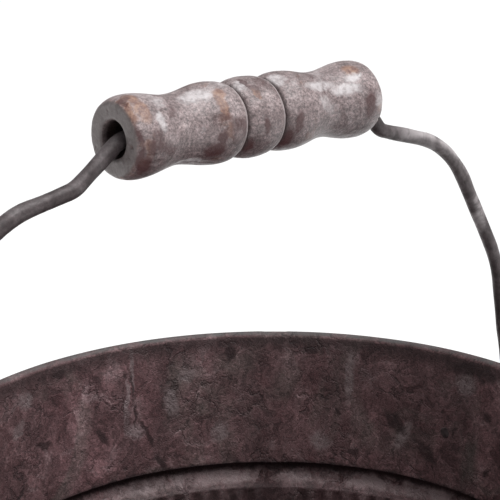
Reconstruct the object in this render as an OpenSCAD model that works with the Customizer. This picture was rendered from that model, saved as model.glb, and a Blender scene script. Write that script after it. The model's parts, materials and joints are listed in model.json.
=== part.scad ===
// Sand bucket: a seamed zinc pail with a wire bail and a turned wooden grip.
// Millimetres, +Z up. The origin is the middle of the ring that the pail stands on, and +X points at one ear.

/* [Pail] */
// Height from the floor to the top of the rim curl
pail_height = 200; // [180:1:230]
// Radius of the circle through the middle of the rim wire
rim_radius = 113.9; // [110:0.1:120]
// Lean of the wall from upright, in degrees
wall_lean = 10; // [8:0.1:12]
// Thickness of the zinc sheet
sheet = 0.7; // [0.5:0.1:0.9]
// Diameter of the wire that the rim is rolled round
rim_wire_d = 3; // [2.4:0.1:3.6]

/* [Beads] */
// Drop from the middle of the rim wire to the middle of the upper bead
upper_bead_drop = 53.4; // [50:0.1:65]
// Height of the middle of the lower bead above the floor
lower_bead_height = 28; // [24:1:40]
// Height of each bead, measured up the wall
bead_height = 10; // [7:0.5:12]
// How far each bead stands out of the wall
bead_depth = 2.8; // [1.5:0.1:3.2]
// How far above its middle each bead is deepest, as a share of half its height
bead_crest = 0.45; // [0:0.05:0.5]

/* [Bottom] */
// Height of the bottom above the floor
bottom_height = 7; // [6:0.5:12]
// Height of the fold that locks the wall under the bottom's flange
hem_height = 4.5; // [3.5:0.5:5]
// Radius of the pressed step that stiffens the bottom
bottom_step_radius = 58; // [45:1:62]
// How far the middle of the bottom is pressed up
bottom_step_rise = 1.6; // [1:0.1:2.5]

/* [Ears] */
// Drop from the middle of the rim wire to the eye that the bail turns in
eye_drop = 14.9; // [14.5:0.1:18]
// Thickness of the ear's sheet
ear_sheet = 1.4; // [1:0.1:1.6]
// Distance from the pail's axis to the outer face of the ear's boss
boss_face_x = 116.2; // [115.8:0.1:117]
// Radius of the ear's pressed boss
boss_radius = 10.5; // [9.5:0.5:11]
// Distance between an ear's two rivets
rivet_spacing = 31.6; // [30:0.2:36]
// Drop from the middle of the rim wire to the rivets
rivet_drop = 28.5; // [27:0.1:32]
// Diameter of a rivet's shank
rivet_d = 3.6; // [3:0.2:4.4]
// Gap between the bail wire and the eye, all round
eye_clearance = 0.3; // [0.2:0.05:0.5]

/* [Bail] */
// Diameter of the bail wire
bail_d = 5; // [4.6:0.1:5.2]
// Distance from the eyes to the grip's axis, measured in the bail's plane
grip_rise = 122.7; // [118:0.1:128]
// How far the bail leans back from upright at rest, in degrees
bail_lean = 4; // [0:0.5:10]
// Radius of the big bend between the shoulder and the leg
corner_radius = 35; // [30:1:38]
// Slope of the wire between the big bend and the leg, in degrees
corner_slope = 62; // [58:1:65]
// Radius of the slack bend at the top of the leg
knee_radius = 50; // [40:1:60]
// Slope of the leg, in degrees
leg_slope = 84.5; // [83.5:0.5:86]
// Radius of the hook that turns the leg into its eye
hook_radius = 5; // [4.5:0.1:5.5]

/* [Bail, left side] */
// Distance from the grip's middle to the first bend
left_kink_x = 43; // [42:0.1:44]
// Slope of the wire as it drops out of the grip, in degrees
left_kink_slope = 35; // [30:1:38]
// Radius of the first bend
left_kink_radius = 12; // [10:0.5:14]
// Length of the drop
left_kink_run = 15.5; // [12:0.1:18]
// Radius of the bend that levels the shoulder
left_level_radius = 10; // [8:0.5:12]
// Slope of the shoulder, in degrees
left_shoulder_slope = 10; // [6:0.5:14]
// Length of the shoulder
left_shoulder_run = 13; // [10:0.1:16]

/* [Bail, right side] */
// Distance from the grip's middle to the first bend
right_kink_x = 45.8; // [45:0.1:46.5]
// Slope of the wire as it drops out of the grip, in degrees
right_kink_slope = 52; // [46:1:54]
// Radius of the first bend
right_kink_radius = 8; // [7:0.5:9]
// Length of the drop
right_kink_run = 9.6; // [8:0.1:11]
// Radius of the bend that levels the shoulder
right_level_radius = 6; // [5:0.5:8]
// Slope of the shoulder, in degrees
right_shoulder_slope = 15.4; // [12:0.2:18]
// Length of the shoulder
right_shoulder_run = 18.4; // [16:0.1:20]

/* [Grip] */
// Length of the wooden grip
grip_length = 100; // [96:1:100]
// Diameter of the grip at its beads and bulges
grip_d = 25; // [24:0.1:26]
// Diameter at the two long waists
waist_d = 21; // [20:0.1:23]
// Diameter at the two grooves beside the middle bead
groove_d = 20; // [19:0.1:22]
// Diameter of the flat end faces
grip_end_d = 22.4; // [19:0.1:23]
// Diameter of the hole through the grip
grip_bore_d = 10.4; // [10.2:0.1:12]

/* [Hidden] */
$fn = 96;

// The rim curl, and the slanted line that the inside of the wall follows
curl_radius = rim_wire_d / 2 + sheet;
rim_z = pail_height - curl_radius;
slope = tan(wall_lean);
sheet_across = sheet / cos(wall_lean);
wall_top_radius = rim_radius - curl_radius / cos(wall_lean);
function wall_radius(z) = wall_top_radius - (rim_z - z) * slope;

// The beads, as an outward swell of the wall line. It rises in a shallow curve and comes back in a steep one.
upper_bead_z = rim_z - upper_bead_drop;
bead_steps = 12;
function swell(z, middle) =
    let (u = (z - middle) / (bead_height / 2), from_crest = u - bead_crest)
    abs(u) >= 1 ? 0
    : from_crest > 0 ? bead_depth * sqrt(1 - pow(from_crest / (1 - bead_crest), 2))
    : bead_depth * (1 - pow(from_crest / (1 + bead_crest), 2));
function bead_line(middle) =
    [for (i = [0:bead_steps])
        let (z = middle - cos(180 * i / bead_steps) * bead_height / 2)
        [wall_radius(z) + swell(z, middle), z]];
wall_line = concat(bead_line(lower_bead_height), bead_line(upper_bead_z));

// The curl, as an arc about the rim wire. It starts where the wall runs into it and ends just short of the wall.
fit_gap = 0.03;
curl_start = 180 - wall_lean;
curl_end = -115;
curl_steps = 20;
function curl_arc(radius, from, to) =
    [for (i = [0:curl_steps])
        let (turn = from + (to - from) * i / curl_steps)
        [rim_radius + radius * cos(turn), rim_z + radius * sin(turn)]];

// The bottom's flange stands inside the wall, and the wall's hem folds up inside the flange
function flange_radius(z) = wall_radius(z) - fit_gap;
function hem_radius(z) = flange_radius(z) - sheet_across - fit_gap;

// The ears, seen along X
eye_z = rim_z - eye_drop;
eye_radius = bail_d / 2 + eye_clearance;
boss_cavity_radius = boss_radius - ear_sheet;
ear_top_radius = boss_radius + 2.5;
ear_lobe_radius = 6.4;
lobe_below = rivet_drop - eye_drop;
lobe_aside = rivet_spacing / 2;
rivet_z = rim_z - rivet_drop;
rivet_turn = asin(lobe_aside / (wall_radius(rivet_z) + sheet_across));
rivet_head_radius = rivet_d * 1.05;
rivet_head_height = 1.9;
rivet_foot_radius = rivet_d * 0.62;
rivet_foot_height = 0.35;

// The bail's pin runs in the eye, and its upset head sits inside the boss
pin_root_x = boss_face_x + 1.8;
pin_head_radius = 3.7;
pin_head_length = 1.9;
pin_head_x = boss_face_x - ear_sheet - 0.9;

// Each half of the bail is bent to a list of slopes. Its two last straight runs are the ones that reach the eye.
left_slopes = [0, left_kink_slope, left_shoulder_slope, corner_slope, leg_slope, 180];
left_radii = [left_kink_radius, left_level_radius, corner_radius, knee_radius, hook_radius];
left_runs = [left_kink_x, left_kink_run, left_shoulder_run];
right_slopes = [0, right_kink_slope, right_shoulder_slope, corner_slope, leg_slope, 180];
right_radii = [right_kink_radius, right_level_radius, corner_radius, knee_radius, hook_radius];
right_runs = [right_kink_x, right_kink_run, right_shoulder_run];
function bend_move(a, b, r) = sign(b - a) * r * [sin(b) - sin(a), cos(a) - cos(b)];
function total(v, i = 0) = i == len(v) ? [0, 0] : v[i] + total(v, i + 1);
function known_move(slopes, radii, runs) =
    total(concat([for (i = [0:len(radii) - 1]) bend_move(slopes[i], slopes[i + 1], radii[i])],
                 [for (i = [0:len(runs) - 1]) runs[i] * [cos(slopes[i]), sin(slopes[i])]]));
function last_runs(slopes, radii, runs) =
    let (gap = [pin_root_x, grip_rise] - known_move(slopes, radii, runs),
         a = slopes[3], b = slopes[4], span = sin(b - a))
    [(gap[0] * sin(b) - gap[1] * cos(b)) / span, (gap[1] * cos(a) - gap[0] * sin(a)) / span];
pin_run = pin_root_x - pin_head_x;
run_lap = 0.2;
run_undersize = 0.02;

// Where the grip's outline changes, measured from its middle
groove_x = 7.6;
bulge_x = 14.8;
waist_x = 29;
end_bead_x = grip_length / 2 - 5.6;
grip_x = grip_length / 2;
outline_steps = 8;
function swing(t) = (1 - cos(180 * t)) / 2;
function outline(x0, x1, r0, r1, round_at) =
    [for (i = [1:outline_steps])
        let (t = i / outline_steps,
             k = round_at == 1 ? sin(90 * t) : round_at == 0 ? 1 - cos(90 * t) : swing(t),
             x = round_at == 1 ? 1 - cos(90 * t) : round_at == 0 ? sin(90 * t) : t)
        [x0 + (x1 - x0) * x, r0 + (r1 - r0) * k]];
half_outline = concat([[0, grip_d / 2]],
    outline(0, groove_x, grip_d / 2, groove_d / 2, 0),
    outline(groove_x, bulge_x, groove_d / 2, grip_d / 2, 1),
    outline(bulge_x, waist_x, grip_d / 2, waist_d / 2, 0.5),
    outline(waist_x, end_bead_x, waist_d / 2, grip_d / 2, 0.5),
    outline(end_bead_x, grip_x, grip_d / 2, grip_end_d / 2, 0));
bore_flare = 0.8;

zinc = [0.36, 0.32, 0.33];
dark_wire = [0.30, 0.27, 0.26];
washed_wood = [0.62, 0.55, 0.53];

// A mirror for what is on the left, where side is -1
module on_side(side) {
    if (side < 0) mirror([1, 0, 0]) children(); else children();
}

// Lays a shape that is drawn along Z so that it points along X at the height of the eye
module at_eye(x) {
    translate([x, 0, eye_z]) rotate([0, 90, 0]) children();
}

// Turns a shape that is drawn along Z to stand square on the outside of the wall at one rivet
module at_rivet(end) {
    rotate([0, 0, end * rivet_turn])
        translate([wall_radius(rivet_z) + sheet_across, 0, rivet_z])
        rotate([0, 90 + wall_lean, 0]) children();
}

// The outline of an ear as it is stamped: a rounded triangle, with the eye in its top corner and a rivet
// in each lower one. Its x points down the wall and its y points round it.
module ear_blank() {
    function arc(middle, radius, from, to) =
        [for (i = [0:10])
            let (turn = from + (to - from) * i / 10) middle + radius * [cos(turn), sin(turn)]];
    side_turn = atan2(lobe_aside, lobe_below)
        + acos((ear_top_radius - ear_lobe_radius) / norm([lobe_below, lobe_aside]));
    polygon(concat(arc([0, 0], ear_top_radius, side_turn, 360 - side_turn),
                   arc([lobe_below, -lobe_aside], ear_lobe_radius, -side_turn, 0),
                   arc([lobe_below, lobe_aside], ear_lobe_radius, 0, side_turn)));
}

module rivet_hole(end) {
    at_rivet(end) translate([0, 0, -10]) cylinder(h = 20, d = rivet_d + 2 * fit_gap, $fn = 32);
}

// The body: one sheet, rolled round the rim wire, swaged with two beads and folded under the bottom
module side_wall() {
    color(zinc) difference() {
        rotate_extrude() polygon(concat(
            [[hem_radius(hem_height) - sheet_across, hem_height], [hem_radius(0) - sheet_across, 0],
             [wall_radius(0) + sheet_across, 0]],
            [for (p = wall_line) p + [sheet_across, 0]],
            curl_arc(rim_wire_d / 2 + fit_gap, curl_start, curl_end),
            curl_arc(curl_radius, curl_end, curl_start),
            [for (i = [len(wall_line) - 1:-1:0]) wall_line[i]],
            [[wall_radius(sheet), sheet], [hem_radius(sheet), sheet],
             [hem_radius(hem_height), hem_height]]));
        for (side = [-1, 1], end = [-1, 1]) on_side(side) rivet_hole(end);
    }
}

// The wire hoop inside the rim curl
module rim_wire() {
    color(dark_wire) rotate_extrude() translate([rim_radius, rim_z]) circle(d = rim_wire_d, $fn = 32);
}

// The bottom: a pressed pan with a flange turned down inside the wall
module bottom() {
    step_run = 3;
    under = bottom_height - sheet;
    flange_foot = sheet + fit_gap;
    color(zinc) rotate_extrude() polygon([
        [0, under + bottom_step_rise], [bottom_step_radius, under + bottom_step_rise],
        [bottom_step_radius + step_run, under], [flange_radius(under) - sheet_across, under],
        [flange_radius(flange_foot) - sheet_across, flange_foot],
        [flange_radius(flange_foot), flange_foot], [flange_radius(bottom_height), bottom_height],
        [bottom_step_radius + step_run + sheet / 2, bottom_height],
        [bottom_step_radius + sheet / 2, bottom_height + bottom_step_rise],
        [0, bottom_height + bottom_step_rise]]);
}

// An ear: a tab riveted to the wall, with a hollow boss pressed out of it and an eye in the boss
module ear(side) {
    corner = 2.2;
    boss_foot_x = wall_radius(eye_z) - 6;
    boss_length = boss_face_x - boss_foot_x;
    module slanted_shell(inner, outer, below, above) {
        rotate_extrude($fn = 180) polygon([
            [inner == 0 ? 0 : wall_radius(below) + inner, below], [wall_radius(below) + outer, below],
            [wall_radius(above) + outer, above], [inner == 0 ? 0 : wall_radius(above) + inner, above]]);
    }
    on_side(side) color(dark_wire) difference() {
        union() {
            intersection() {
                slanted_shell(sheet_across + fit_gap, sheet_across + ear_sheet, rivet_z - 9, rim_z - 2.5);
                at_eye(60) linear_extrude(80) ear_blank();
            }
            at_eye(boss_foot_x) rotate_extrude() polygon(concat(
                [[0, 0], [boss_radius, 0]],
                [for (i = [0:6]) [boss_radius - corner + corner * cos(15 * i),
                                  boss_length - corner + corner * sin(15 * i)]],
                [[0, boss_length]]));
        }
        at_eye(boss_foot_x - 1) cylinder(h = boss_length + 1 - ear_sheet, r = boss_cavity_radius);
        at_eye(boss_face_x - 4) cylinder(h = 8, r = eye_radius, $fn = 48);
        slanted_shell(0, sheet_across + fit_gap, eye_z - 25, rim_z + 5);
        for (end = [-1, 1]) rivet_hole(end);
    }
}

// A rivet: a domed head outside the ear, a shank, and a flat head inside the wall
module rivet(side, end) {
    on_side(side) color(zinc) at_rivet(end) rotate_extrude($fn = 32) polygon(concat(
        [[0, -sheet - rivet_foot_height - fit_gap]],
        [[rivet_foot_radius - 0.15, -sheet - rivet_foot_height - fit_gap],
         [rivet_foot_radius, -sheet - fit_gap],
         [rivet_d / 2, -sheet - fit_gap], [rivet_d / 2, ear_sheet + 2 * fit_gap]],
        [for (i = [0:6]) [rivet_head_radius * cos(15 * i),
                          ear_sheet + 2 * fit_gap + rivet_head_height * sin(15 * i)]]));
}

// A straight run along X. It is a hair thinner than a bend and laps into the bends at both its ends.
module wire_run(length) {
    translate([-run_lap, 0, 0]) rotate([0, 90, 0])
        cylinder(h = length + 2 * run_lap, d = bail_d - run_undersize, $fn = 32);
}

// A bend from the X direction, down for a positive turn and up for a negative one
module wire_bend(turn, radius) {
    mirror([0, 0, turn < 0 ? 1 : 0]) translate([0, 0, -radius])
        rotate([-90, 0, 0]) rotate([0, 0, -90])
        rotate_extrude(angle = abs(turn)) translate([radius, 0]) circle(d = bail_d, $fn = 32);
}

// Bend i and the run that follows it, and then the rest of the wire
module wire_from(slopes, radii, runs, i) {
    turn = slopes[i + 1] - slopes[i];
    wire_bend(turn, radii[i]);
    translate([radii[i] * sin(abs(turn)), 0, -sign(turn) * radii[i] * (1 - cos(turn))])
        rotate([0, turn, 0]) {
            wire_run(runs[i + 1]);
            if (i + 1 < len(radii))
                translate([runs[i + 1], 0, 0]) wire_from(slopes, radii, runs, i + 1);
        }
}

module bail_half(slopes, radii, runs) {
    translate([runs[0], 0, grip_rise])
        wire_from(slopes, radii, concat(runs, last_runs(slopes, radii, runs), [pin_run]), 0);
    translate([pin_head_x - pin_head_length, 0, 0]) rotate([0, 90, 0])
        cylinder(h = pin_head_length, r = pin_head_radius, $fn = 48);
}

// The bail: one wire through the grip, down to both ears, with a headed pin in each eye
module bail_wire() {
    color(dark_wire) translate([0, 0, eye_z]) rotate([-bail_lean, 0, 0]) union() {
        translate([-left_kink_x, 0, grip_rise]) wire_run(left_kink_x + right_kink_x);
        bail_half(right_slopes, right_radii, right_runs);
        mirror([1, 0, 0]) bail_half(left_slopes, left_radii, left_runs);
    }
}

// The grip: turned wood that spins loosely on the wire
module wooden_grip() {
    bore = grip_bore_d / 2;
    far_half = [for (i = [len(half_outline) - 1:-1:1]) [-half_outline[i][0], half_outline[i][1]]];
    outer = concat(far_half, half_outline);
    color(washed_wood) translate([0, 0, eye_z]) rotate([-bail_lean, 0, 0]) translate([0, 0, grip_rise])
        rotate([0, 90, 0]) rotate_extrude() polygon([
            each [for (p = outer) [p[1], p[0]]],
            [bore + bore_flare, grip_x], [bore, grip_x - bore_flare],
            [bore, bore_flare - grip_x], [bore + bore_flare, -grip_x]]);
}

side_wall();
rim_wire();
bottom();
ear(-1);  // ear_left
ear(1);  // ear_right
rivet(-1, -1);  // rivet_left_front
rivet(-1, 1);  // rivet_left_back
rivet(1, -1);  // rivet_right_front
rivet(1, 1);  // rivet_right_back
bail_wire();
wooden_grip();
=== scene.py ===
import json
import math

import bpy
from mathutils import Matrix, Vector, noise


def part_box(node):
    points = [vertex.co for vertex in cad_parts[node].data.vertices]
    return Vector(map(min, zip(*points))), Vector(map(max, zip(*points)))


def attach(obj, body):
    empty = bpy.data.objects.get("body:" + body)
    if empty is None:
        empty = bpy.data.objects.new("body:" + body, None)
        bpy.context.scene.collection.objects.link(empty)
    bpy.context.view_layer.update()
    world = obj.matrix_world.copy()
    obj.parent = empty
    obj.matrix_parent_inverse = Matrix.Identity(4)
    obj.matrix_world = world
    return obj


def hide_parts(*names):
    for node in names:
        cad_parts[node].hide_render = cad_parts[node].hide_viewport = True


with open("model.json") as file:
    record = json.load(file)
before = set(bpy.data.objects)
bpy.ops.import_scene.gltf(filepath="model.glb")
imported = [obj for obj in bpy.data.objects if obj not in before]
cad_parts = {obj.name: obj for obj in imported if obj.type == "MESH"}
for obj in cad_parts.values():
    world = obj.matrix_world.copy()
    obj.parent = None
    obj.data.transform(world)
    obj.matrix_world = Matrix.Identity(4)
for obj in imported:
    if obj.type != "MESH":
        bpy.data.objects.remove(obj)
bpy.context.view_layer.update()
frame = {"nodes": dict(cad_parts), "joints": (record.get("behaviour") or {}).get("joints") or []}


# ---- Camera ----
# The pail is seen from in front of its left ear, a little above the rim, with a long lens that takes in
# the grip, most of the bail and the far side of the mouth.
rim_wire_low, rim_wire_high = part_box("rim_wire")
rim_centre = Vector((0, 0, (rim_wire_low.z + rim_wire_high.z) / 2))
camera_offset = Vector((-0.29655, -0.32749, 0.18951))
camera_turn = math.radians(-41.58)
camera_rise = math.radians(15.49)
camera_roll = math.radians(-0.74)
backward = Vector((math.sin(camera_turn) * math.cos(camera_rise),
                   -math.cos(camera_turn) * math.cos(camera_rise), math.sin(camera_rise)))
level_right = Vector((math.cos(camera_turn), math.sin(camera_turn), 0))
level_up = backward.cross(level_right)
right = level_right * math.cos(camera_roll) + level_up * math.sin(camera_roll)
up = level_up * math.cos(camera_roll) - level_right * math.sin(camera_roll)
bpy.ops.object.camera_add()
camera = bpy.context.object
camera.name = "camera"
camera.data.sensor_width = 36
camera.data.lens = 107.03
camera.matrix_world = (Matrix.Translation(rim_centre + camera_offset)
                       @ Matrix((right, up, backward)).transposed().to_4x4())
bpy.context.scene.camera = camera


# ---- Studio ----
# A pale floor and a white surround. The main light is broad and soft, from high up and a little to the
# right of the camera, with a weaker soft box overhead. Colours are shown as they are, with no film curve.
bpy.context.scene.view_settings.view_transform = "Standard"
world = bpy.data.worlds.new("studio_surround")
world.use_nodes = True
world.node_tree.nodes["Background"].inputs["Color"].default_value = (1, 1, 1, 1)
world.node_tree.nodes["Background"].inputs["Strength"].default_value = 0.40
bpy.context.scene.world = world
bpy.ops.object.light_add(type="SUN")
main_light = bpy.context.object
main_light.name = "main_light"
main_light.data.energy = 2.7
main_light.data.angle = math.radians(48)
main_light.rotation_euler = Vector((0.34, -0.44, 1.0)).to_track_quat("Z", "Y").to_euler()
bpy.ops.object.light_add(type="AREA", location=(-0.05, 0.10, 1.30))
overhead_box = bpy.context.object
overhead_box.name = "overhead_box"
overhead_box.data.size = 0.7
overhead_box.data.energy = 2.5

bpy.ops.object.select_all(action="DESELECT")
bpy.ops.mesh.primitive_plane_add(size=30)
floor = bpy.context.object
floor.name = "floor"
floor_paint = bpy.data.materials.new("floor_paint")
floor_paint.use_nodes = True
floor_shader = floor_paint.node_tree.nodes["Principled BSDF"]
floor_shader.inputs["Base Color"].default_value = (0.93, 0.93, 0.93, 1)
floor_shader.inputs["Roughness"].default_value = 0.9
floor.data.materials.append(floor_paint)


# ---- Side wall ----
# One sheet of zinc-coated steel, rolled to a cone and curled outward round a wire at the rim. Two beads
# are swaged round it, the stretch between them is pressed into upright flutes, and the foot is folded
# up inside the bottom's flange. It is finished in a thin dark wash that was brushed on and wiped. Its
# colour also carries painted light: a pool of light on the far-left wall, a highlight on the upper
# bead's lower slope, and shade at that bead's upper edge and under the curl.
rim_wire_radius = (rim_wire_high.z - rim_wire_low.z) / 2
rim_radius = rim_wire_high.x - rim_wire_radius
rim_z = rim_centre.z
sheet = 0.0007
curl_radius = rim_wire_radius + sheet
wall_lean = math.radians(10)
fit_gap = 0.00003
bead_half = 0.005
bead_depth = 0.0028
bead_crest = 0.45
upper_bead_z = rim_z - 0.0534
lower_bead_z = 0.028
flute_count = 90
flute_depth = 0.0009
points_per_flute = 6
seam_turn = math.radians(46)
seam_half_width = 0.0045
seam_sink = 0.00035
seam_flattening = 0.45
hem_bend = 0.0002
coarse_dent = 0.0007
fine_dent = 0.00022
dent_offset = 0.0002


def wall_radius(z):
    """Radius of the wall's inner face at a height, before it is dented."""
    return rim_radius - curl_radius / math.cos(wall_lean) - (rim_z - z) * math.tan(wall_lean)


def bead_swell(z, middle):
    """How far a bead stands out at a height: steep above its crest and shallow below."""
    from_crest = (z - middle) / bead_half - bead_crest
    if from_crest >= 1 - bead_crest or from_crest <= -1 - bead_crest:
        return 0
    if from_crest > 0:
        return bead_depth * math.sqrt(1 - (from_crest / (1 - bead_crest)) ** 2)
    return bead_depth * (1 - (from_crest / (1 + bead_crest)) ** 2)


def bead_outline(middle, steps=12):
    """The wall's outline over one bead, from its foot up."""
    heights = [middle - math.cos(math.pi * i / steps) * bead_half for i in range(steps + 1)]
    return [(wall_radius(z) + bead_swell(z, middle), z) for z in heights]


def curl_outline(steps=16):
    """The curl at the rim, from the wall over the wire and back under it."""
    start, end = math.pi - wall_lean, math.radians(-115)
    turns = [start + (end - start) * i / steps for i in range(steps + 1)]
    return [(rim_radius + curl_radius * math.cos(t), rim_z + curl_radius * math.sin(t)) for t in turns]


def draw_rings(name, outline, count):
    """Draws an outline from point to point and spins it round the axis, as sheet is on a former."""
    bpy.ops.object.select_all(action="DESELECT")
    bpy.ops.mesh.primitive_plane_add(size=0.001)
    piece = bpy.context.object
    piece.name = name
    bpy.ops.object.mode_set(mode="EDIT")
    bpy.ops.mesh.merge(type="CENTER")
    bpy.ops.transform.translate(value=(outline[0][0], 0, outline[0][1]))
    for (r0, z0), (r1, z1) in zip(outline, outline[1:]):
        bpy.ops.mesh.extrude_region_move(TRANSFORM_OT_translate={"value": (r1 - r0, 0, z1 - z0)})
    bpy.ops.mesh.select_all(action="SELECT")
    bpy.ops.mesh.spin(steps=count, angle=2 * math.pi, center=(0, 0, 0), axis=(0, 0, 1),
                      use_auto_merge=False)
    bpy.ops.mesh.select_all(action="SELECT")
    bpy.ops.mesh.remove_doubles(threshold=0.000005)
    bpy.ops.object.mode_set(mode="OBJECT")
    return piece


def in_edit_mode(piece, *actions):
    """Runs edit-mode actions on the whole of one piece."""
    bpy.ops.object.select_all(action="DESELECT")
    piece.select_set(True)
    bpy.context.view_layer.objects.active = piece
    bpy.ops.object.mode_set(mode="EDIT")
    bpy.ops.mesh.select_all(action="SELECT")
    for action in actions:
        action()
    bpy.ops.object.mode_set(mode="OBJECT")


def face_outward():
    """Turns the normals of the piece in edit mode outward."""
    bpy.ops.mesh.normals_make_consistent(inside=False)


def add_and_apply(piece, kind, **settings):
    """Adds one modifier to a piece and applies it."""
    bpy.ops.object.select_all(action="DESELECT")
    piece.select_set(True)
    bpy.context.view_layer.objects.active = piece
    modifier = piece.modifiers.new(kind.lower(), kind)
    for setting, value in settings.items():
        setattr(modifier, setting, value)
    bpy.ops.object.modifier_apply(modifier=modifier.name)


def smooth_step(value, low, high):
    """Rises smoothly from 0 at the low value to 1 at the high one."""
    t = min(max((value - low) / (high - low), 0), 1)
    return t * t * (3 - 2 * t)


def hem_radius(z):
    """Radius of the part of the sheet that is folded up inside the bottom's flange."""
    return wall_radius(z) - 2 * fit_gap - sheet / math.cos(wall_lean)


flute_low = lower_bead_z + bead_half
flute_high = upper_bead_z - bead_half
flute_heights = [flute_low + (flute_high - flute_low) * t
                 for t in (0.006, 0.014, 0.024, 0.06, 0.15, 0.27, 0.39, 0.51, 0.63, 0.75, 0.86, 0.94,
                           0.976, 0.986, 0.994)]
band_heights = [upper_bead_z + bead_half + (rim_z - upper_bead_z - bead_half) * t
                for t in (0.05, 0.2, 0.36, 0.52, 0.68, 0.84, 0.95)]
wall_outline = ([(hem_radius(z), z) for z in (0.0045, 0.0012)]
                + [(hem_radius(sheet) + hem_bend, sheet), (wall_radius(sheet) - hem_bend, sheet)]
                + [(wall_radius(z), z) for z in (0.0011, 0.004, 0.013, 0.021)]
                + bead_outline(lower_bead_z)
                + [(wall_radius(z), z) for z in flute_heights]
                + bead_outline(upper_bead_z)
                + [(wall_radius(z), z) for z in band_heights]
                + curl_outline())
side_wall = draw_rings("side_wall_sheet", wall_outline, flute_count * points_per_flute)


def off_seam(turn, radius):
    """Distance round the wall from the middle of the lock seam."""
    return abs((turn - seam_turn + math.pi) % (2 * math.pi) - math.pi) * radius


def pressed_radius(point):
    """Where the flutes, the lock seam and years of knocks leave a point of the wall."""
    radius = math.hypot(point.x, point.y)
    turn = math.atan2(point.y, point.x)
    away = off_seam(turn, radius)
    flute = smooth_step(point.z, flute_low, flute_low + 0.003)
    flute *= 1 - smooth_step(point.z, flute_high - 0.003, flute_high)
    flute *= smooth_step(away, seam_half_width, seam_half_width + 0.003)
    seam = 1 - smooth_step(away, seam_half_width - 0.0006, seam_half_width + 0.0006)
    fold = 1 - smooth_step(away, 0.0024, 0.0046)
    swell = bead_swell(point.z, upper_bead_z) + bead_swell(point.z, lower_bead_z)
    away_from_ends = smooth_step(point.z, 0.012, 0.03)
    away_from_ends *= 1 - 0.6 * smooth_step(point.z, rim_z - 0.012, rim_z)
    dents = noise.noise(point * 22) * coarse_dent + noise.noise(point * 60 + Vector((3, 5, 7))) * fine_dent
    return (radius + flute * flute_depth * math.cos(flute_count * turn) - seam * seam_sink
            - fold * swell * seam_flattening + away_from_ends * dents - away_from_ends * dent_offset)


def press_wall(piece):
    """Moves each point of the wall out or in to its pressed radius."""
    for vertex in piece.data.vertices:
        radius = math.hypot(vertex.co.x, vertex.co.y)
        stretch = pressed_radius(vertex.co) / radius
        vertex.co.x *= stretch
        vertex.co.y *= stretch


press_wall(side_wall)
in_edit_mode(side_wall, face_outward)
add_and_apply(side_wall, "SOLIDIFY", thickness=sheet, offset=-1)
bpy.ops.object.shade_smooth_by_angle(angle=math.radians(50))


def new_finish(name):
    """A new material and its node tree."""
    material = bpy.data.materials.new(name)
    material.use_nodes = True
    return material, material.node_tree


def shade(tree, kind, settings=None, output=0, **inputs):
    """Adds one shader node, sets or links its inputs by name, and returns one of its outputs."""
    new = tree.nodes.new("ShaderNode" + kind)
    for setting, value in (settings or {}).items():
        setattr(new, setting, value)
    for name, value in inputs.items():
        socket = new.inputs[name.replace("_", " ")]
        if isinstance(value, bpy.types.NodeSocket):
            tree.links.new(value, socket)
        else:
            socket.default_value = value
    return new.outputs[output]


def stops(tree, factor, *marks):
    """A colour ramp: marks are (place, colour), where a colour is three numbers or one grey."""
    new = tree.nodes.new("ShaderNodeValToRGB")
    while len(new.color_ramp.elements) < len(marks):
        new.color_ramp.elements.new(0.5)
    for element, (place, colour) in zip(new.color_ramp.elements, marks):
        element.position = place
        element.color = (*colour, 1) if isinstance(colour, tuple) else (colour, colour, colour, 1)
    tree.links.new(factor, new.inputs["Fac"])
    return new.outputs["Color"]


def lay_over(tree, under, over, amount, how="MIX"):
    """Lays one colour over another by an amount that is a number or a socket."""
    new = tree.nodes.new("ShaderNodeMix")
    new.data_type = "RGBA"
    new.blend_type = how
    for socket, value in zip((new.inputs[0], new.inputs[6], new.inputs[7]), (amount, under, over)):
        if isinstance(value, bpy.types.NodeSocket):
            tree.links.new(value, socket)
        elif isinstance(value, tuple):
            socket.default_value = (*value, 1)
        else:
            socket.default_value = value
    return new.outputs[2]


def stretched(tree, scale, place=(0, 0, 0)):
    """Object coordinates, moved, and stretched where a pattern runs one way."""
    coordinates = shade(tree, "TexCoord", output=3)
    return shade(tree, "Mapping", Vector=coordinates, Scale=scale, Location=place)


def speckle(tree, coordinates, scale, detail=4.0, roughness=0.6, distortion=0.0):
    """A noise pattern between 0 and 1 on the given coordinates."""
    return shade(tree, "TexNoise", Vector=coordinates, Scale=scale, Detail=detail, Roughness=roughness,
                 Distortion=distortion)


def relief(tree, height, depth, distance):
    """A fine relief from a height pattern, as a normal."""
    return shade(tree, "Bump", Height=height, Strength=depth, Distance=distance)


def warped(tree, coordinates, scale, amount):
    """Coordinates pushed about by noise, so that a pattern on them has torn, feathery edges."""
    push = shade(tree, "TexNoise", output=1, Vector=coordinates, Scale=scale, Detail=5.0, Roughness=0.65)
    push = shade(tree, "VectorMath", {"operation": "SUBTRACT"}, Vector=push)
    push.node.inputs[1].default_value = (0.5, 0.5, 0.5)
    moved = shade(tree, "VectorMath", {"operation": "MULTIPLY_ADD"}, Vector=push)
    moved.node.inputs[1].default_value = (amount, amount, amount)
    tree.links.new(coordinates, moved.node.inputs[2])
    return moved


def patch(tree, coordinates, place, size, turn=0.0, tilt=0.0, edge=0.45):
    """A torn-edged patch round a place: 1 inside and 0 outside, stretched along its own turned axes."""
    local = shade(tree, "Mapping", {"vector_type": "TEXTURE"}, Vector=coordinates, Location=place,
                  Rotation=(tilt, 0, turn), Scale=size)
    reach = shade(tree, "VectorMath", {"operation": "LENGTH"}, output=1, Vector=local)
    return stops(tree, reach, (1 - edge, 1.0), (1 + edge, 0.0))


def strongest(tree, first, *rest):
    """The highest of several masks at each point."""
    for mask in rest:
        first = lay_over(tree, first, mask, 1.0, "LIGHTEN")
    return first


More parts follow.
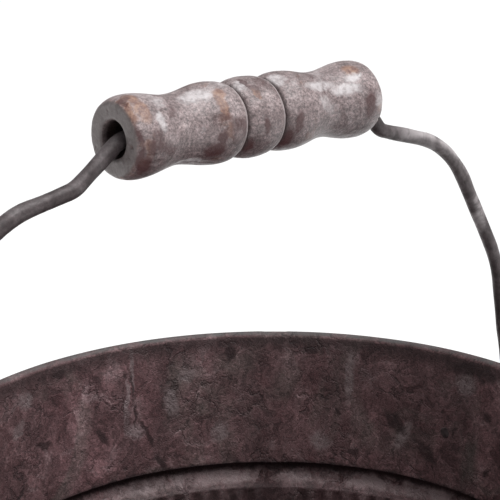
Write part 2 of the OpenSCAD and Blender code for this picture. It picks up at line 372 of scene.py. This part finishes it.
def level(tree, height, low, high):
    """A mask that rises from 0 at one height to 1 at another, or falls if the first is the higher."""
    return shade(tree, "MapRange", Value=height, From_Min=low, From_Max=high)


def both(tree, first, second):
    """One mask where a second one is too, or one mask weakened by a plain amount."""
    return lay_over(tree, (0, 0, 0), first, second)


def on_wall(turn, drop):
    """A place on the inside of the wall, by its turn in degrees and its drop from the rim wire in mm."""
    z, turn = rim_z - drop / 1000, math.radians(turn)
    return wall_radius(z) * math.cos(turn), wall_radius(z) * math.sin(turn), z


def wall_patches(tree, coordinates, *marks):
    """Patches on the wall: each mark is its turn, drop, half width and half height in mm, and tilt."""
    return strongest(tree, *(patch(tree, coordinates, on_wall(turn, drop),
                                   (0.012, wide / 1000, high / 1000), math.radians(turn), math.radians(tilt))
                             for turn, drop, wide, high, tilt in marks))


washed_zinc, tree = new_finish("washed_zinc")
plain = stretched(tree, (1, 1, 1))
torn = warped(tree, plain, 75, 0.020)
ragged = warped(tree, plain, 260, 0.0045)
clouds = speckle(tree, torn, 85, 9, 0.66, 0.6)
feathers = speckle(tree, torn, 300, 7, 0.62, 1.4)
smears = speckle(tree, stretched(tree, (1, 1, 0.22), (0.3, 0.1, 0.2)), 60, 6, 0.6, 0.5)
tint = speckle(tree, stretched(tree, (1, 1, 0.8), (0.6, 0.2, 0.5)), 34, 5, 0.6, 0.8)
grit = speckle(tree, plain, 1150, 3, 0.7)
cracks = shade(tree, "TexVoronoi", {"feature": "DISTANCE_TO_EDGE"}, Vector=torn, Scale=105.0)
crack_lines = stops(tree, cracks, (0.0, 1.0), (0.035, 0.35), (0.11, 0.0))
cracked_areas = speckle(tree, stretched(tree, (1, 1, 1), (0.9, 0.4, 0.1)), 55, 3, 0.5)
crack_lines = both(tree, crack_lines, stops(tree, cracked_areas, (0.46, 0.0), (0.6, 1.0)))
wash = stops(tree, clouds, (0.30, (0.046, 0.018, 0.020)), (0.44, (0.098, 0.050, 0.053)),
             (0.56, (0.140, 0.078, 0.082)), (0.72, (0.245, 0.170, 0.175)))
wash = lay_over(tree, wash, (0.094, 0.084, 0.076), stops(tree, tint, (0.5, 0.0), (0.68, 0.62)))
for pattern, darkest, lightest in ((feathers, (0.32, 0.48), (0.68, 1.62)),
                                   (smears, (0.34, 0.70), (0.66, 1.30)),
                                   (grit, (0.3, 0.66), (0.7, 1.38))):
    wash = lay_over(tree, wash, stops(tree, pattern, darkest, lightest), 1.0, "MULTIPLY")
wash = lay_over(tree, wash, (0.020, 0.009, 0.010), both(tree, crack_lines, 0.75))
pale = wall_patches(tree, ragged, (75.6, 7, 1.1, 11, 4), (77.6, 20, 1.2, 14, 10), (30.4, 14, 2.2, 13, 0),
                    (36.2, 39.5, 5.2, 4.5, 30), (64.2, 12.6, 4.8, 3.4, 0), (76.5, 31, 5.0, 3.6, 20),
                    (5, 8.5, 5.0, 5.0, 0), (100.7, 8, 4.2, 4.0, 40), (104, 17, 5.0, 2.8, -30),
                    (18, 33, 3.0, 8.0, 25), (68, 22, 3.5, 7, -12), (58, 36, 4, 5, 20))
pale = both(tree, pale, stops(tree, feathers, (0.38, 0.10), (0.60, 0.75)))
wash = lay_over(tree, wash, (0.250, 0.200, 0.203), pale)
# Painted light: a broad soft pool that lightens the far-left stretch of the wall, where the main light falls.
painted_light_on_left_wall = patch(tree, torn, on_wall(84, 26), (0.03, 0.040, 0.030), math.radians(84))
wash = lay_over(tree, wash, (1.30, 1.28, 1.30), painted_light_on_left_wall, "MULTIPLY")
dark = wall_patches(tree, ragged, (76, 13.2, 0.8, 6.0, 0), (75.9, 24, 0.9, 5.0, 8), (73.7, 33, 1.1, 8.5, -24),
                    (71.2, 45, 1.4, 5.0, -22), (54.9, 5.0, 3.0, 3.4, 0), (38.8, 4.3, 3.4, 1.6, 0),
                    (32.8, 27.8, 1.6, 1.2, 0), (28.9, 42.4, 3.4, 1.6, 0), (20, 29, 3.2, 7.0, -50),
                    (12, 38, 2.8, 7.5, -50), (5.5, 2.6, 7.5, 3.0, -8), (0.5, 3.4, 6.0, 3.6, -8),
                    (92, 2.6, 3.8, 2.2, 0), (-1, 18, 3.0, 2.2, 0), (-2.7, 38, 2.0, 2.0, 0),
                    (84, 30, 2.2, 5, -30), (98, 26, 5, 1.4, 20))
wash = lay_over(tree, wash, (0.018, 0.007, 0.008), both(tree, dark, 0.74))
height_above_floor = shade(tree, "SeparateXYZ", output=2, Vector=plain)
rough_height = shade(tree, "SeparateXYZ", output=2, Vector=warped(tree, plain, 200, 0.0042))

bead_foot = upper_bead_z - bead_half
bead_head = upper_bead_z + bead_half
# Painted highlight, with some worn wash: the upward-facing lower slope of the upper bead is lightened, broken
# up by the clouds.
painted_highlight = both(tree, level(tree, rough_height, bead_foot + 0.0012, bead_foot + 0.0026),
              level(tree, rough_height, bead_head - 0.0026, bead_head - 0.0038))
wash = lay_over(tree, wash, (0.300, 0.232, 0.236),
                both(tree, painted_highlight, stops(tree, clouds, (0.40, 0.0), (0.58, 0.85))))
# Painted shade: a dark line along the upper edge of the upper bead, under its overhang.
painted_shade_at_bead_head = both(tree, level(tree, rough_height, bead_head - 0.0044, bead_head - 0.0026),
             level(tree, rough_height, bead_head + 0.0012, bead_head - 0.0002))
wash = lay_over(tree, wash, (0.012, 0.005, 0.006), both(tree, painted_shade_at_bead_head, 0.85))
below_bead = both(tree, level(tree, rough_height, bead_foot + 0.0024, bead_foot + 0.0008),
                  level(tree, height_above_floor, lower_bead_z, lower_bead_z + 0.02))
wash = lay_over(tree, wash, (0.030, 0.015, 0.017), both(tree, below_bead, 0.50))
# Painted shade: the wall is darkened in a band just under the rim curl.
painted_shade_under_curl = both(tree, level(tree, rough_height, rim_z - 0.0060, rim_z - 0.0014),
                 level(tree, height_above_floor, rim_z + 0.0010, rim_z + 0.0002))
wash = lay_over(tree, wash, (0.028, 0.015, 0.016), both(tree, painted_shade_under_curl, 0.66))
worn = stops(tree, speckle(tree, torn, 120, 6, 0.7), (0.36, 0.25), (0.60, 1.0))
on_rim = both(tree, level(tree, height_above_floor, rim_z + 0.0010, rim_z + 0.0018), worn)
wash = lay_over(tree, wash, (0.078, 0.072, 0.072), on_rim)
shader = tree.nodes["Principled BSDF"]
tree.links.new(wash, shader.inputs["Base Color"])
tree.links.new(stops(tree, clouds, (0.3, 0.66), (0.7, 0.48)), shader.inputs["Roughness"])
skin = lay_over(tree, lay_over(tree, clouds, feathers, 0.5), grit, 0.12)
skin = lay_over(tree, skin, (0, 0, 0), both(tree, crack_lines, 0.5))
tree.links.new(relief(tree, skin, 0.75, 0.0011), shader.inputs["Normal"])
shader.inputs["Metallic"].default_value = 0.15
side_wall.data.materials.append(washed_zinc)
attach(side_wall, "pail")
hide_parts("side_wall")


# ---- Lock seam ----
# The sheet's two ends are hooked together, hammered flat on the outside and left standing a little
# proud, so the seam runs up the wall from the foot to the curl and passes over the flattened beads.
bpy.ops.object.select_all(action="DESELECT")
bpy.ops.mesh.primitive_grid_add(x_subdivisions=9, y_subdivisions=150, size=2)
lock_seam = bpy.context.object
lock_seam.name = "lock_seam"
fold_half_width = 0.0031
fold_thickness = 0.0008
fold_height = 0.0009
fold_waver = 0.00012
fold_low, fold_high = 0.0008, rim_z - 0.0030
for vertex in lock_seam.data.vertices:
    across, up_wall = vertex.co.x, (vertex.co.y + 1) / 2
    z = fold_low + (fold_high - fold_low) * up_wall
    radius = wall_radius(z) + bead_swell(z, upper_bead_z) + bead_swell(z, lower_bead_z)
    turn = seam_turn + across * fold_half_width / radius
    top = pressed_radius(Vector((radius * math.cos(turn), radius * math.sin(turn), z)))
    top += sheet + fold_height * (1 - abs(across) ** 6) + fold_waver * noise.noise(Vector((0, 0, z * 160)))
    vertex.co = (top * math.cos(turn), top * math.sin(turn), z)
add_and_apply(lock_seam, "SOLIDIFY", thickness=fold_thickness, offset=-1)
in_edit_mode(lock_seam, face_outward)
bpy.ops.object.shade_smooth_by_angle(angle=math.radians(50))
lock_seam.data.materials.append(washed_zinc)
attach(lock_seam, "pail")
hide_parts("side_wall")


# ---- Rim wire ----
# A hoop of plain steel wire that stiffens the rim. Only a line of it shows, in the gap under the curl.
dull_steel, tree = new_finish("dull_steel")
blooms = speckle(tree, stretched(tree, (1, 1, 1)), 320, 5, 0.65)
shader = tree.nodes["Principled BSDF"]
tree.links.new(stops(tree, blooms, (0.35, (0.07, 0.055, 0.05)), (0.65, (0.16, 0.14, 0.135))),
               shader.inputs["Base Color"])
tree.links.new(stops(tree, blooms, (0.3, 0.5), (0.7, 0.75)), shader.inputs["Roughness"])
shader.inputs["Metallic"].default_value = 0.6
frame["nodes"]["rim_wire"].data.materials.clear()
frame["nodes"]["rim_wire"].data.materials.append(dull_steel)


# ---- Bottom ----
# A pressed pan with a raised middle and a flange turned down all round, locked into the wall's foot.
pan_low, pan_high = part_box("bottom")
pan_rise = 0.0016
pan_step_radius = 0.058
pan_z = pan_high.z - pan_rise
pan_dent = 0.0008
middle_ring_radius = 0.004
pan_outline = [(wall_radius(z) - fit_gap, z) for z in (pan_low.z, 0.003, pan_z - 0.0012)]
pan_outline += [(wall_radius(pan_z) - 0.0004, pan_z - 0.0002), (wall_radius(pan_z) - 0.0014, pan_z)]
pan_outline += [(r, pan_z) for r in (0.072, 0.066, pan_step_radius + 0.0042, pan_step_radius + 0.0034)]
pan_outline += [(pan_step_radius + 0.0018, pan_z + pan_rise / 2)]
pan_outline += [(r, pan_high.z) for r in (pan_step_radius + 0.0002, pan_step_radius - 0.001, 0.05,
                                          0.04, 0.03, 0.02, 0.011, middle_ring_radius)]
pan = draw_rings("bottom_pan", pan_outline, 180)


def close_middle():
    """Closes the last ring of a disc to a point."""
    bpy.ops.mesh.select_all(action="DESELECT")
    bpy.ops.object.mode_set(mode="OBJECT")
    for vertex in pan.data.vertices:
        vertex.select = math.hypot(vertex.co.x, vertex.co.y) < middle_ring_radius + 0.0001
    bpy.ops.object.mode_set(mode="EDIT")
    bpy.ops.mesh.extrude_region_move()
    bpy.ops.mesh.merge(type="CENTER")
    bpy.ops.mesh.select_all(action="SELECT")


in_edit_mode(pan, close_middle, face_outward)
for vertex in pan.data.vertices:
    reach = 1 - smooth_step(math.hypot(vertex.co.x, vertex.co.y), 0.05, 0.07)
    vertex.co.z += reach * (noise.noise(vertex.co * 28) * pan_dent - 0.0003)
add_and_apply(pan, "SOLIDIFY", thickness=sheet, offset=-1)
bpy.ops.object.shade_smooth_by_angle(angle=math.radians(40))
pan.data.materials.append(washed_zinc)
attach(pan, "pail")
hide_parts("bottom")


# ---- Ears and rivets ----
# Two ears stamped from thicker steel, each with a hollow boss pressed out for the bail's headed end.
# Each is held to the wall by two rivets with hammered heads.
def roughen(piece, depth_at):
    """Moves each point of a piece in or out along its normal, by a depth that depends on its place."""
    moves = [vertex.normal * depth_at(vertex.co) for vertex in piece.data.vertices]
    for vertex, move in zip(piece.data.vertices, moves):
        vertex.co += move


def worked_copy(node, name, grain, rounds, dent_size, dent_depth):
    """A copy of a CAD node with its edges eased and its faces lightly dented, as forged work has."""
    mesh = frame["nodes"][node].data.copy()
    mesh.materials.clear()
    piece = bpy.data.objects.new(name, mesh)
    bpy.context.scene.collection.objects.link(piece)
    in_edit_mode(piece, lambda: bpy.ops.mesh.remove_doubles(threshold=0.00001), face_outward)
    add_and_apply(piece, "REMESH", mode="VOXEL", voxel_size=grain)
    add_and_apply(piece, "SMOOTH", factor=0.5, iterations=rounds)
    roughen(piece, lambda place: dent_depth * (noise.noise(place / dent_size) - 0.15))
    bpy.ops.object.shade_smooth()
    return piece


dark_steel, tree = new_finish("dark_steel")
plain = stretched(tree, (1, 1, 1))
blooms = speckle(tree, plain, 170, 6, 0.65, 0.5)
scuffs = speckle(tree, plain, 700, 4, 0.7)
skin = stops(tree, blooms, (0.32, (0.030, 0.020, 0.021)), (0.5, (0.070, 0.052, 0.054)),
             (0.68, (0.150, 0.130, 0.132)))
skin = lay_over(tree, skin, stops(tree, scuffs, (0.3, 0.7), (0.7, 1.3)), 1.0, "MULTIPLY")
shader = tree.nodes["Principled BSDF"]
tree.links.new(skin, shader.inputs["Base Color"])
tree.links.new(stops(tree, blooms, (0.3, 0.62), (0.7, 0.42)), shader.inputs["Roughness"])
tree.links.new(relief(tree, blooms, 0.4, 0.0006), shader.inputs["Normal"])
shader.inputs["Metallic"].default_value = 0.35
for side in ("left", "right"):
    ear = worked_copy("ear_" + side, "pressed_ear_" + side, 0.0004, 3, 0.006, 0.00012)
    ear.data.materials.append(dark_steel)
    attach(ear, "pail")
    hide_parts("ear_" + side)
    for end in ("front", "back"):
        node = f"rivet_{side}_{end}"
        rivet = worked_copy(node, f"hammered_{node}", 0.00025, 3, 0.0022, 0.00025)
        rivet.data.materials.append(dark_steel)
        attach(rivet, "pail")
        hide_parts(node)


# ---- Bail wire ----
# One length of 5 mm steel wire, bent cold by hand, so its skin is dimpled and scuffed and its two
# shoulders differ. It takes the same wash as the pail, with a painted highlight on its right shoulder.
bail = worked_copy("bail_wire", "bent_bail_wire", 0.00055, 5, 0.009, 0.00028)
bail_steel, tree = new_finish("bail_steel")
plain = stretched(tree, (1, 1, 1))
blooms = speckle(tree, plain, 110, 6, 0.62, 0.7)
scuffs = speckle(tree, plain, 520, 5, 0.7, 0.3)
skin = stops(tree, blooms, (0.30, (0.032, 0.022, 0.023)), (0.48, (0.068, 0.053, 0.055)),
             (0.66, (0.130, 0.110, 0.113)))
skin = lay_over(tree, skin, stops(tree, scuffs, (0.32, 0.62), (0.66, 1.35)), 1.0, "MULTIPLY")
along_hinge = shade(tree, "SeparateXYZ", output=0, Vector=warped(tree, plain, 190, 0.010))
# Painted highlight: the right shoulder is lightened, most on the outer side of its bend and weakly along the
# rest of it.
painted_highlight = both(tree, level(tree, along_hinge, 0.062, 0.078), level(tree, along_hinge, 0.112, 0.104))
right_bend = Vector((0.0697, 0, 0.2540))
from_bend = shade(tree, "Mapping", Vector=warped(tree, plain, 240, 0.0022), Scale=(1, 0, 1),
                  Location=tuple(-right_bend))
from_bend = shade(tree, "VectorMath", {"operation": "LENGTH"}, output=1, Vector=from_bend)
outer_side = both(tree, level(tree, from_bend, 0.0342, 0.0362), level(tree, from_bend, 0.0405, 0.0392))
painted_highlight = both(tree, painted_highlight, strongest(tree, outer_side, (0.22, 0.22, 0.22)))
skin = lay_over(tree, skin, (0.470, 0.430, 0.437),
                both(tree, painted_highlight, stops(tree, blooms, (0.40, 0.25), (0.54, 0.95))))
shader = tree.nodes["Principled BSDF"]
tree.links.new(skin, shader.inputs["Base Color"])
tree.links.new(stops(tree, blooms, (0.3, 0.58), (0.7, 0.38)), shader.inputs["Roughness"])
tree.links.new(relief(tree, lay_over(tree, blooms, scuffs, 0.4), 0.5, 0.0006), shader.inputs["Normal"])
shader.inputs["Metallic"].default_value = 0.15
bail.data.materials.append(bail_steel)
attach(bail, "bail")
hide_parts("bail_wire")


# ---- Wooden grip ----
# A turned hardwood grip with a bead in the middle, a bulge each side of it and a flared end beyond each
# long waist, bored through and loose on the wire. It is limewashed over a brown stain, sealed with a
# thin varnish and worn back to the wood at its edges. Its colour also carries painted light: highlights
# along its tops, and shade on its underside, in the grooves and in the bore.
grip_spin = next(joint for joint in frame["joints"] if joint["name"] == "grip_spin")
grip_middle = Vector(grip_spin["pos_m"])
grip_low, grip_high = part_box("wooden_grip")
grip_half = (grip_high.x - grip_low.x) / 2
grip_radius = (grip_high.z - grip_low.z) / 2
groove_radius = 0.0100
waist_radius = 0.0105
end_face_radius = 0.0099
bore_radius = 0.0052
groove_x = 0.0076
bulge_x = 0.0148
waist_x = 0.029
end_bead_x = grip_half - 0.0056
bore_flare = 0.0008
grain_depth = 0.00006
facet_depth = 0.00022
chip_depth = 0.0005


def grip_outline_radius(x):
    """Radius of the turned outline at a distance from the grip's middle."""
    x = abs(x)
    if x < groove_x:
        return groove_radius + (grip_radius - groove_radius) * math.sqrt(1 - (x / groove_x) ** 2)
    if x < bulge_x:
        t = (bulge_x - x) / (bulge_x - groove_x)
        return groove_radius + (grip_radius - groove_radius) * math.sqrt(1 - t * t)
    if x < waist_x:
        t = (x - bulge_x) / (waist_x - bulge_x)
        return grip_radius + (waist_radius - grip_radius) * (1 - math.cos(math.pi * t)) / 2
    if x < end_bead_x:
        t = (x - waist_x) / (end_bead_x - waist_x)
        return waist_radius + (grip_radius - waist_radius) * (1 - math.cos(math.pi * t)) / 2
    t = min((x - end_bead_x) / (grip_half - end_bead_x), 1)
    return end_face_radius + (grip_radius - end_face_radius) * math.sqrt(1 - t * t)


def stations():
    """Places along half the grip, closer together at the grooves and the end."""
    places = [groove_x * math.sin(math.pi / 2 * i / 7) for i in range(8)]
    places += [bulge_x - (bulge_x - groove_x) * math.cos(math.pi / 2 * i / 7) for i in range(1, 8)]
    places += [bulge_x + (end_bead_x - bulge_x) * i / 20 for i in range(1, 21)]
    places += [end_bead_x + (grip_half - end_bead_x) * math.sin(math.pi / 2 * i / 8) for i in range(1, 9)]
    return places


half_places = stations()
places = [-x for x in reversed(half_places[1:])] + half_places
grip_outline = [(bore_radius, x) for x in (-0.03, -0.04)]
grip_outline += [(bore_radius, bore_flare - grip_half), (bore_radius + bore_flare, -grip_half),
                 (0.0075, -grip_half), (0.009, -grip_half)]
grip_outline += [(grip_outline_radius(x), x) for x in places]
grip_outline += [(0.009, grip_half), (0.0075, grip_half), (bore_radius + bore_flare, grip_half),
                 (bore_radius, grip_half - bore_flare)]
grip_outline += [(bore_radius, x) for x in (0.04, 0.03, 0.01, -0.01, -0.03)]
grip = draw_rings("turned_grip", grip_outline, 96)
in_edit_mode(grip, lambda: bpy.ops.mesh.remove_doubles(threshold=0.00001), face_outward)
add_and_apply(grip, "SUBSURF", levels=1, render_levels=1)
grip.matrix_world = Matrix.Translation(grip_middle) @ Matrix.Rotation(math.radians(90), 4, "Y")
bpy.ops.object.transform_apply(location=True, rotation=True, scale=False)


def wear_depth(point):
    """Tool marks, grain lines and small chips in the turned surface."""
    along = point - grip_middle
    grain = noise.noise(Vector((along.x * 40, along.y * 900, along.z * 900)))
    facets = noise.noise(along * 110)
    chips = noise.noise(along * 420 + Vector((9, 2, 4)))
    chip = smooth_step(chips, 0.45, 0.75) * smooth_step(abs(along.x), 0.030, 0.046)
    return grain * grain_depth + facets * facet_depth - chip * chip_depth


roughen(grip, wear_depth)
bpy.ops.object.shade_smooth_by_angle(angle=math.radians(55))

limed_wood, tree = new_finish("limed_wood")
centred = stretched(tree, (1, 1, 1), tuple(-grip_middle))
along_grain = shade(tree, "Mapping", Vector=centred, Scale=(0.12, 1, 1))
torn = warped(tree, warped(tree, centred, 170, 0.0050), 700, 0.0016)
fibres = speckle(tree, along_grain, 900, 4, 0.6, 0.2)
figure = speckle(tree, warped(tree, centred, 90, 0.008), 130, 8, 0.66, 0.5)
stains = speckle(tree, shade(tree, "Mapping", Vector=torn, Location=(0.4, 0.2, 0.7)), 95, 6, 0.6, 0.4)
lime = speckle(tree, shade(tree, "Mapping", Vector=torn, Location=(0.1, 0.6, 0.3)), 60, 7, 0.62, 0.5)
grains = speckle(tree, centred, 1300, 3, 0.75)
coarse_grains = speckle(tree, centred, 520, 4, 0.7)
distance_along = shade(tree, "SeparateXYZ", output=0, Vector=centred)
from_middle = shade(tree, "Math", {"operation": "ABSOLUTE"}, Value=distance_along)


def grip_patches(tree, coordinates, *marks):
    """Patches on the grip: each mark is its x, turn from the top and radius, then half sizes."""
    return strongest(tree, *(patch(tree, coordinates,
                                   (x / 1000, radius / 1000 * math.sin(math.radians(turn)),
                                    radius / 1000 * math.cos(math.radians(turn))),
                                   (along / 1000, round_it / 1000, 0.004), 0.0, math.radians(-turn))
                             for x, turn, radius, along, round_it in marks))


wood = stops(tree, figure, (0.32, (0.167, 0.123, 0.123)), (0.5, (0.240, 0.185, 0.185)),
             (0.68, (0.340, 0.277, 0.278)))
for pattern, darkest, lightest in ((fibres, (0.34, 0.86), (0.64, 1.10)),
                                   (coarse_grains, (0.3, 0.70), (0.7, 1.30)),
                                   (grains, (0.34, 0.45), (0.66, 1.60))):
    wood = lay_over(tree, wood, stops(tree, pattern, darkest, lightest), 1.0, "MULTIPLY")
# Painted shade: the grip's colour is darkened towards its underside.
underside_painted_shade = level(tree, shade(tree, "SeparateXYZ", output=2, Vector=torn), 0.0035, -0.0120)
wood = lay_over(tree, wood, (0.48, 0.43, 0.44), underside_painted_shade, "MULTIPLY")
# Limewash from the noise, and near-white painted highlights in the patches along the tops of the waists,
# bulges and middle bead.
limewash_and_highlights = strongest(tree, stops(tree, lime, (0.60, 0.0), (0.70, 0.7)),
                  grip_patches(tree, torn, (-23, 334, 11, 8.5, 3.6), (-40.5, 297, 12.2, 2.4, 3.2),
                               (-5.5, 338, 12, 3.2, 3.4), (9.5, 340, 11.8, 3.4, 3.6), (24, 312, 11, 8, 2.6),
                               (35, 300, 11.4, 7, 2.6), (-29, 216, 10.6, 9, 1.4), (39, 318, 12.3, 4, 2)))
wood = lay_over(tree, wood, (0.62, 0.58, 0.59), both(tree, limewash_and_highlights, stops(tree, coarse_grains, (0.34, 0.35),
                                                                       (0.56, 0.85))))
rubbed_ring = strongest(tree, both(tree, level(tree, from_middle, 0.0145, 0.0165),
                                   level(tree, from_middle, 0.0205, 0.0180)),
                        level(tree, from_middle, 0.0440, 0.0465))
bare = strongest(tree, both(tree, rubbed_ring, stops(tree, stains, (0.52, 0.0), (0.60, 0.8))),
                 grip_patches(tree, torn, (-17.5, 303, 12.4, 2.0, 5.5), (-16.5, 322, 12.4, 2.6, 3.0),
                              (-45.5, 318, 12.4, 3.0, 5.0), (-46, 340, 12.4, 2.6, 4.0),
                              (-48.8, 322, 11.2, 1.4, 5.5), (-2.5, 316, 12.4, 1.5, 2.6),
                              (40, 332, 12.3, 3.4, 2.8)))
wood = lay_over(tree, wood, stops(tree, coarse_grains, (0.38, (0.135, 0.046, 0.030)),
                                  (0.60, (0.315, 0.170, 0.108))), both(tree, bare, 0.78))
# Dark red-brown: stain from the noise and the few top patches, and painted shade in the patches along the
# lower, near side.
stain_and_underside_shade = strongest(tree, both(tree, stops(tree, stains, (0.54, 0.0), (0.66, 0.9)),
                               stops(tree, lime, (0.56, 1.0), (0.62, 0.0))),
                    grip_patches(tree, torn, (-2.0, 266, 12.4, 1.8, 3.6), (-3.2, 338, 12.6, 0.9, 5.0),
                                 (8.5, 234, 11.6, 4.2, 5.5), (-18.5, 258, 12.0, 2.8, 3.0),
                                 (-20, 240, 12.0, 5.0, 3.4), (-44.5, 262, 12.3, 0.9, 3.6),
                                 (-46.5, 236, 12.2, 3.0, 4.4), (12, 262, 12.2, 2.2, 4.0),
                                 (-48.6, 282, 11.4, 1.3, 4.2), (-48.6, 250, 11.4, 1.5, 4.4),
                                 (-6.5, 232, 10.6, 2.2, 4.0), (43, 270, 12.3, 3.2, 6.0)))
wood = lay_over(tree, wood, (0.066, 0.020, 0.021), both(tree, stain_and_underside_shade, 0.82))
pale_edges = strongest(tree, both(tree, level(tree, distance_along, -0.0096, -0.0090),
                                  level(tree, distance_along, -0.0080, -0.0086)),
                       both(tree, level(tree, distance_along, 0.0056, 0.0062),
                            level(tree, distance_along, 0.0072, 0.0067)))
wood = lay_over(tree, wood, (0.52, 0.46, 0.46),
                both(tree, pale_edges, stops(tree, stains, (0.40, 0.15), (0.56, 0.65))))
# Painted shade in the two grooves beside the middle bead.
groove_painted_shade = both(tree, level(tree, from_middle, 0.0066, 0.0074), level(tree, from_middle, 0.0086, 0.0078))
wood = lay_over(tree, wood, (0.045, 0.028, 0.028), both(tree, groove_painted_shade, 0.75))
end_grain = level(tree, from_middle, grip_half - 0.0007, grip_half - 0.0002)
wood = lay_over(tree, wood, stops(tree, coarse_grains, (0.35, (0.105, 0.084, 0.082)),
                                  (0.65, (0.165, 0.138, 0.136))), end_grain)
off_axis = shade(tree, "Mapping", Vector=centred, Scale=(0, 1, 1))
off_axis = shade(tree, "VectorMath", {"operation": "LENGTH"}, output=1, Vector=off_axis)
# Painted shade: the inside of the bore is made near black.
bore_painted_shade = level(tree, off_axis, bore_radius + 0.0007, bore_radius + 0.0001)
wood = lay_over(tree, wood, (0.022, 0.013, 0.012), bore_painted_shade)
shader = tree.nodes["Principled BSDF"]
tree.links.new(wood, shader.inputs["Base Color"])
tree.links.new(stops(tree, lime, (0.3, 0.50), (0.7, 0.34)), shader.inputs["Roughness"])
skin = lay_over(tree, lay_over(tree, coarse_grains, grains, 0.45), stain_and_underside_shade, 0.3)
tree.links.new(relief(tree, skin, 0.85, 0.0008), shader.inputs["Normal"])
shader.inputs["Coat Weight"].default_value = 0.25
shader.inputs["Coat Roughness"].default_value = 0.28
grip.data.materials.append(limed_wood)
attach(grip, "grip")
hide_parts("wooden_grip")
